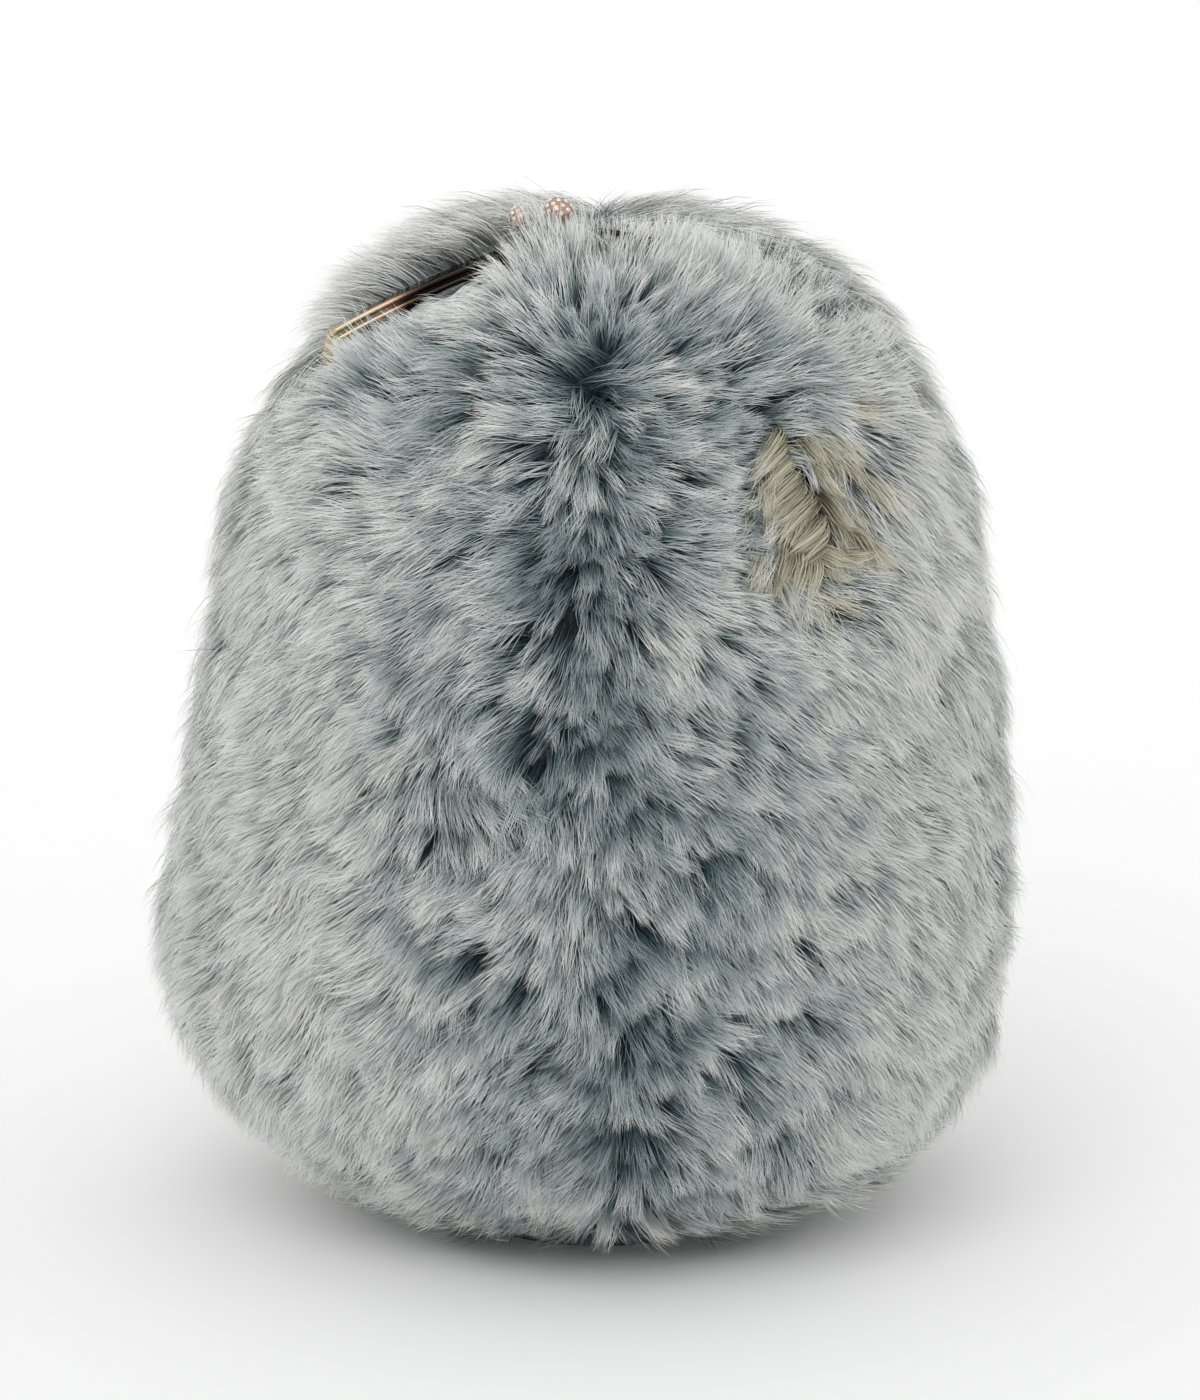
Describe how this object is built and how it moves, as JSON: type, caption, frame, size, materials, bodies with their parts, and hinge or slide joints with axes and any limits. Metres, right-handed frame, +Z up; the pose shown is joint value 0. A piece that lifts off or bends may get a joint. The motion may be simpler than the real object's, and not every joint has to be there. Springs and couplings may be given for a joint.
{
  "type": "furry windscreen",
  "caption": "Furry ovoid windscreen for a microphone, with a hinged metal mouth frame and ball clasp, a suede cable slit, a foam core, and a base collar with a drawcord.",
  "frame": {"origin": "centre of the collar's underside, on the plane the windscreen rests on", "axes": "+Z up, -Y front, +X to the right seen from the front"},
  "size_m": [0.172, 0.15, 0.211],
  "materials": {
    "fur": "long pale grey pile with slate roots",
    "tan_suede": "tan suede with a matted nap",
    "lining": "black open mesh fabric",
    "tape": "woven grosgrain tape",
    "foam": "open-cell acoustic foam",
    "plated_steel": "polished champagne-gold plating on steel",
    "nylon": "moulded black nylon",
    "rubber": "soft moulded rubber",
    "zinc_steel": "zinc-plated steel",
    "cord": "round braided cord"
  },
  "bodies": {
    "cover": {"fur_front_left": "fur", "fur_front_right": "fur", "fur_rear_left": "fur", "fur_rear_right": "fur", "fur_base": "fur", "fur_gusset_front": "fur", "fur_gusset_rear": "fur", "seam_tape_front": "tape", "seam_tape_rear": "tape", "seam_tape_base": "tape", "lining_body": "lining", "foam_core_front": "foam", "foam_core_rear": "foam", "mic_pocket": "lining", "hinge_rivet_left": "zinc_steel", "hinge_rivet_right": "zinc_steel", "hinge_anchor_left": "tape", "hinge_anchor_right": "tape", "collar_ring": "nylon", "collar_backplate": "nylon", "collar_gland": "rubber", "collar_screw_1": "zinc_steel", "collar_screw_2": "zinc_steel", "collar_screw_3": "zinc_steel", "collar_screw_4": "zinc_steel", "drawcord": "cord"},
    "front_half": {"fur_lobe_front_left": "fur", "fur_lobe_front_right": "fur", "lining_lobe_front": "lining", "foam_lobe_front": "foam", "frame_rail_front": "plated_steel", "mouth_binding_front": "tape", "clasp_knob_front": "plated_steel", "cable_slit_patch": "tan_suede"},
    "rear_half": {"fur_lobe_rear_left": "fur", "fur_lobe_rear_right": "fur", "lining_lobe_rear": "lining", "foam_lobe_rear": "foam", "frame_rail_rear": "plated_steel", "mouth_binding_rear": "tape", "clasp_knob_rear": "plated_steel"},
    "cord_lock": {"cord_lock_body": "nylon", "cord_lock_spring": "zinc_steel"},
    "lock_button": {"cord_lock_button": "nylon"}
  },
  "joints": [
    {"name": "rear_mouth_hinge", "type": "hinge", "parent": "cover", "child": "rear_half", "pos_m": [0, -0.018, 0.147], "axis": [1, 0, 0], "range_deg": [-25, 0], "deforming": ["fur_gusset_rear"]},
    {"name": "front_mouth_hinge", "type": "hinge", "parent": "cover", "child": "front_half", "pos_m": [0, -0.018, 0.147], "axis": [1, 0, 0], "range_deg": [0, 25], "deforming": ["fur_gusset_front"]},
    {"name": "cord_lock_slide", "type": "slide", "parent": "cover", "child": "cord_lock", "axis": [0, 1, 0], "range_m": [-0.0045, 0.002]},
    {"name": "lock_button_press", "type": "slide", "parent": "cord_lock", "child": "lock_button", "axis": [-1, 0, 0], "range_m": [0, 0.0022], "stiffness_N_per_m": 400, "springref_m": -0.001, "deforming": ["cord_lock_spring"]}
  ],
  "couplings": [
    {"joint": "front_mouth_hinge", "follows": "rear_mouth_hinge", "ratio": -1}
  ]
}
